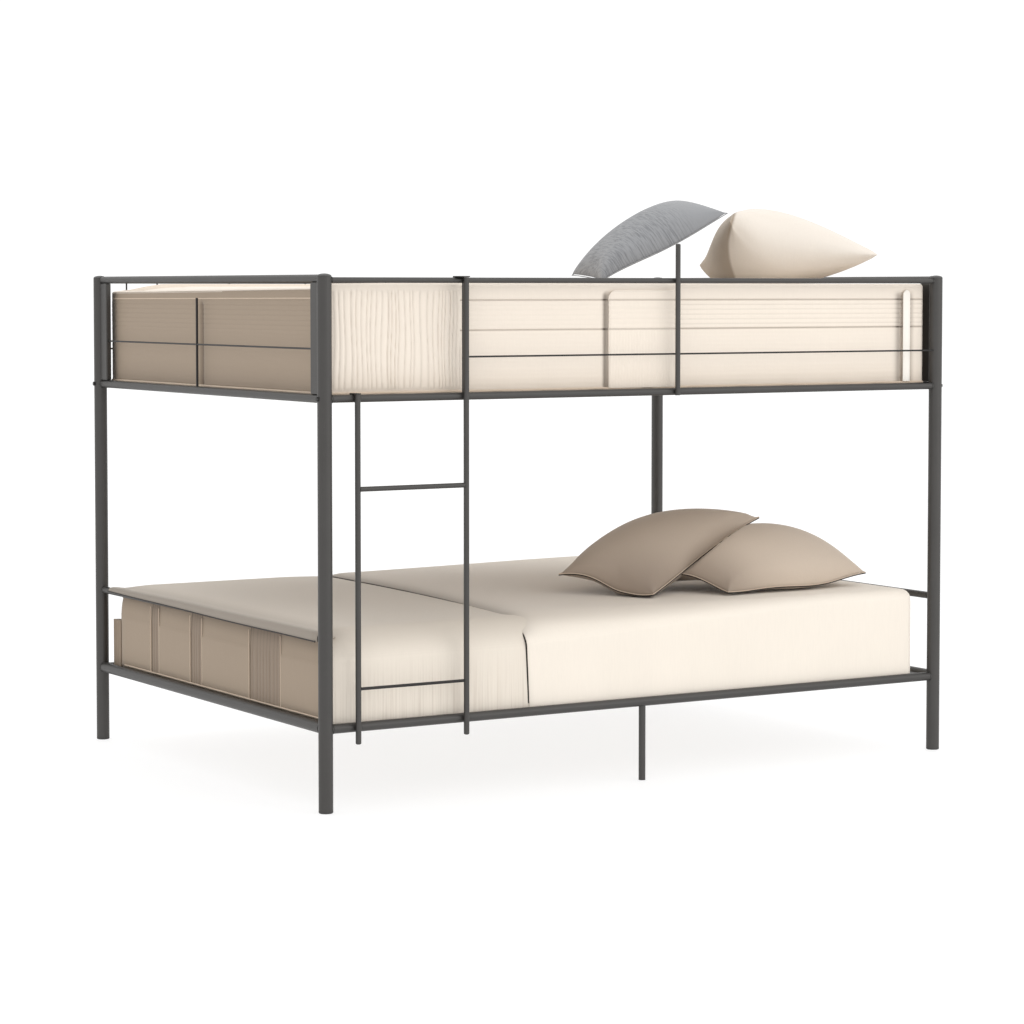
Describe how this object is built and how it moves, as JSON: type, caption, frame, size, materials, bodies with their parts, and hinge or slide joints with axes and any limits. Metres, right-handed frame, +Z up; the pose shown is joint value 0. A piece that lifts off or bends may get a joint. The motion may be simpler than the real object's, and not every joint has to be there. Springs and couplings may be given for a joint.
{
  "type": "bunk bed with ladder",
  "caption": "Low full-over-full bunk bed of dark steel tube with a hooked ladder, guard rails, mattresses, bedding and pillows.",
  "frame": {"origin": "on the floor under the middle of the bed's plan", "axes": "+X along the bed to the end without the ladder, +Y away from the ladder side, +Z up"},
  "size_m": [2.0466, 1.4945, 1.5982],
  "materials": {
    "gunmetal_steel": "satin",
    "cap_plastic": "satin",
    "foot_rubber": "matte",
    "bolt_black": "satin",
    "cream_knit": "matte",
    "cover_fabric": "matte",
    "duvet_cotton": "matte",
    "pillow_taupe": "matte",
    "pillow_grey": "matte",
    "pillow_cream": "matte"
  },
  "bodies": {
    "frame": {"centre_leg_back": "gunmetal_steel", "centre_leg_front": "gunmetal_steel", "end_crossbar_left": "gunmetal_steel", "end_crossbar_right": "gunmetal_steel", "end_lower_rail_left": "gunmetal_steel", "end_lower_rail_right": "gunmetal_steel", "end_mid_rod_left": "gunmetal_steel", "end_mid_rod_right": "gunmetal_steel", "end_stile_left_back": "gunmetal_steel", "end_stile_left_front": "gunmetal_steel", "end_stile_right_back": "gunmetal_steel", "end_stile_right_front": "gunmetal_steel", "end_top_rail_left": "gunmetal_steel", "end_top_rail_right": "gunmetal_steel", "end_upper_rail_left": "gunmetal_steel", "end_upper_rail_right": "gunmetal_steel", "foot_cap_back_left": "foot_rubber", "foot_cap_back_right": "foot_rubber", "foot_cap_front_left": "foot_rubber", "foot_cap_front_right": "foot_rubber", "guard_end_upright": "gunmetal_steel", "guard_grid_back": "gunmetal_steel", "guard_mid_rod_front": "gunmetal_steel", "guard_upright_back": "gunmetal_steel", "guard_upright_front": "gunmetal_steel", "lower_side_rail_back": "gunmetal_steel", "lower_side_rail_front": "gunmetal_steel", "post_back_left": "gunmetal_steel", "post_back_right": "gunmetal_steel", "post_cap_back_left": "cap_plastic", "post_cap_back_right": "cap_plastic", "post_cap_front_left": "cap_plastic", "post_cap_front_right": "cap_plastic", "post_front_left": "gunmetal_steel", "post_front_right": "gunmetal_steel", "rail_bolt_back_left": "bolt_black", "rail_bolt_back_right": "bolt_black", "rail_bolt_front_left": "bolt_black", "rail_bolt_front_right": "bolt_black", "slat_deck_lower": "gunmetal_steel", "slat_deck_upper": "gunmetal_steel", "top_side_rail_back": "gunmetal_steel", "top_side_rail_front": "gunmetal_steel", "upper_side_rail_back": "gunmetal_steel", "upper_side_rail_front": "gunmetal_steel"},
    "ladder": {"ladder_hook_low": "gunmetal_steel", "ladder_hook_top": "gunmetal_steel", "ladder_rail_left": "gunmetal_steel", "ladder_rail_right": "gunmetal_steel", "ladder_rung": "gunmetal_steel", "ladder_tie": "gunmetal_steel"},
    "upper_bed": {"upper_mattress": "cream_knit"},
    "lower_bed": {"lower_mattress": "cream_knit", "lower_cover": "cover_fabric", "duvet": "duvet_cotton"},
    "lower_left_pillow": {"pillow_lower_left": "pillow_taupe"},
    "lower_right_pillow": {"pillow_lower_right": "pillow_taupe"},
    "upper_grey_pillow": {"pillow_upper_grey": "pillow_grey"},
    "upper_cream_pillow": {"pillow_upper_cream": "pillow_cream"}
  },
  "joints": [
    {"name": "ladder_lift", "type": "slide", "parent": "frame", "child": "ladder", "axis": [0, 0, 1], "range_m": [0, 0.03]},
    {"name": "upper_mattress_lift", "type": "slide", "parent": "frame", "child": "upper_bed", "axis": [0, 0, 1], "range_m": [0, 0.32]},
    {"name": "lower_mattress_lift", "type": "slide", "parent": "frame", "child": "lower_bed", "axis": [0, 0, 1], "range_m": [0, 0.12]},
    {"name": "lower_left_pillow_lift", "type": "slide", "parent": "lower_bed", "child": "lower_left_pillow", "axis": [-0.7071, 0, 0.7071], "range_m": [0, 0.15]},
    {"name": "lower_right_pillow_pull", "type": "slide", "parent": "lower_bed", "child": "lower_right_pillow", "axis": [0.5736, -0.8192, 0], "range_m": [0, 0.15]},
    {"name": "upper_grey_pillow_lift", "type": "slide", "parent": "upper_bed", "child": "upper_grey_pillow", "axis": [0, 0, 1], "range_m": [0, 0.2]},
    {"name": "upper_cream_pillow_lift", "type": "slide", "parent": "upper_bed", "child": "upper_cream_pillow", "axis": [0.8, 0, 0.6], "range_m": [0, 0.15]}
  ]
}
